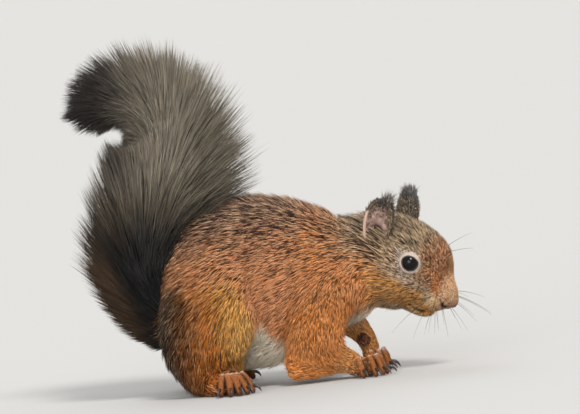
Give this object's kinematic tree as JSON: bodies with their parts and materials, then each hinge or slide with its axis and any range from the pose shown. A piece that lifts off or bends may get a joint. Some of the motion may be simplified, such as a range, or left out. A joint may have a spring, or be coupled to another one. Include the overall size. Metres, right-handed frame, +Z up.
{
  "type": "red squirrel model",
  "caption": "Life-size still model of a red squirrel crouching on all fours, its bushy tail raised along the back and curled at the tip.",
  "frame": {"origin": "on the floor under the middle of the animal's box", "axes": "+X towards the head, +Y towards the animal's left side, +Z up"},
  "size_m": [0.18, 0.1027, 0.1707],
  "materials": {
    "back_coat": "short dense reddish brown coat streaked with dark guard hairs",
    "thigh_coat": "rusty brown coat, golden at the front edge",
    "foreleg_coat": "bright orange short coat",
    "foot_coat": "very short orange coat over bare soles",
    "head_coat": "grey-brown speckled coat, orange on the cheek, rusty on the bridge of the nose",
    "ear": "thin pinkish ear, furred outside, with a dark tuft",
    "tail_hair": "long loose grey-brown hair, darker at the base and tip",
    "nose": "bare damp skin",
    "eye": "near-black glossy eye",
    "claw": "dark smooth horn"
  },
  "bodies": {
    "root": {"eye_right": "eye", "eye_left": "eye", "nose_pad": "nose", "ear_right": "ear", "ear_left": "ear", "hind_foot_right": "foot_coat", "claw_hind_right_toe5": "claw", "claw_hind_right_toe4": "claw", "claw_hind_right_toe3": "claw", "claw_hind_right_toe2": "claw", "claw_hind_right_toe1": "claw", "hind_foot_left": "foot_coat", "claw_hind_left_toe5": "claw", "claw_hind_left_toe4": "claw", "claw_hind_left_toe3": "claw", "claw_hind_left_toe2": "claw", "claw_hind_left_toe1": "claw", "fore_foot_right": "foot_coat", "claw_fore_right_finger5": "claw", "claw_fore_right_finger4": "claw", "claw_fore_right_finger3": "claw", "claw_fore_right_finger2": "claw", "forearm_right": "foreleg_coat", "upper_arm_right": "foreleg_coat", "fore_foot_left": "foot_coat", "claw_fore_left_finger5": "claw", "claw_fore_left_finger4": "claw", "claw_fore_left_finger3": "claw", "claw_fore_left_finger2": "claw", "forearm_left": "foreleg_coat", "upper_arm_left": "foreleg_coat", "thigh_right": "thigh_coat", "thigh_left": "thigh_coat", "rump": "back_coat", "loin": "back_coat", "chest": "back_coat", "neck": "head_coat", "head": "head_coat", "tail_base": "tail_hair", "tail_lower": "tail_hair", "tail_middle": "tail_hair", "tail_upper": "tail_hair", "tail_bend": "tail_hair", "tail_tip": "tail_hair"}
  },
  "joints": []
}
